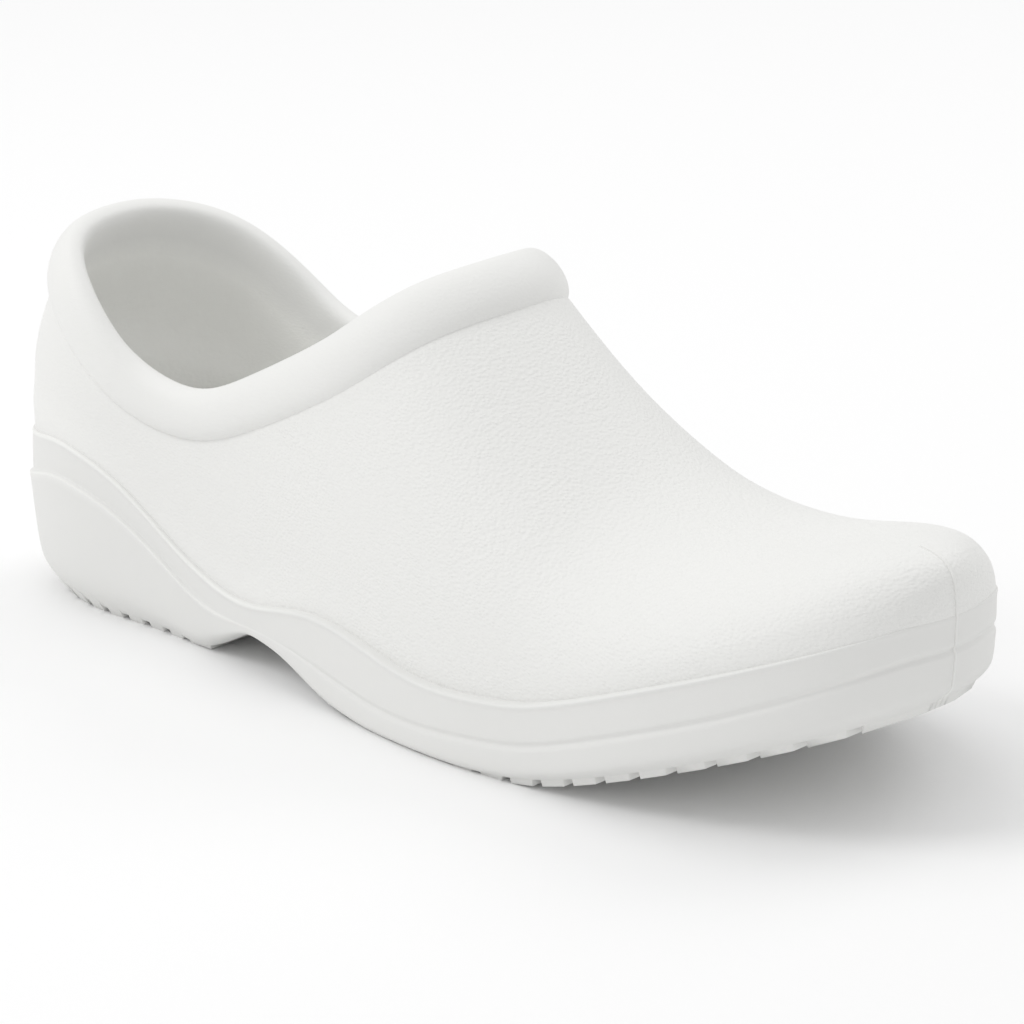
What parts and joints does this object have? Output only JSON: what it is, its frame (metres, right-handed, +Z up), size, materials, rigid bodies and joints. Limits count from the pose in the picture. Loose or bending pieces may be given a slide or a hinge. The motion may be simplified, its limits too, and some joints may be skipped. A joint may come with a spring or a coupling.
{
  "type": "slip-on work shoe",
  "caption": "Moulded slip-on work shoe for the right foot: hollow foam upper with a rolled collar, stepped side wall, raised arch, toe spring and lugged treads.",
  "frame": {"origin": "centre of the bounding box, on the floor that the shoe stands on", "axes": "+X from heel to toe, +Y towards the inner (big toe) side, +Z up"},
  "size_m": [0.292, 0.1074, 0.1107],
  "materials": {
    "foam": "matte white moulded EVA foam with a fine leather grain",
    "insole": "matte soft foam footbed",
    "tread": "matte white foam tread"
  },
  "bodies": {
    "root": {"upper": "foam", "midsole": "foam", "insole": "insole", "outsole_heel": "tread", "outsole_forefoot": "tread"}
  },
  "joints": []
}
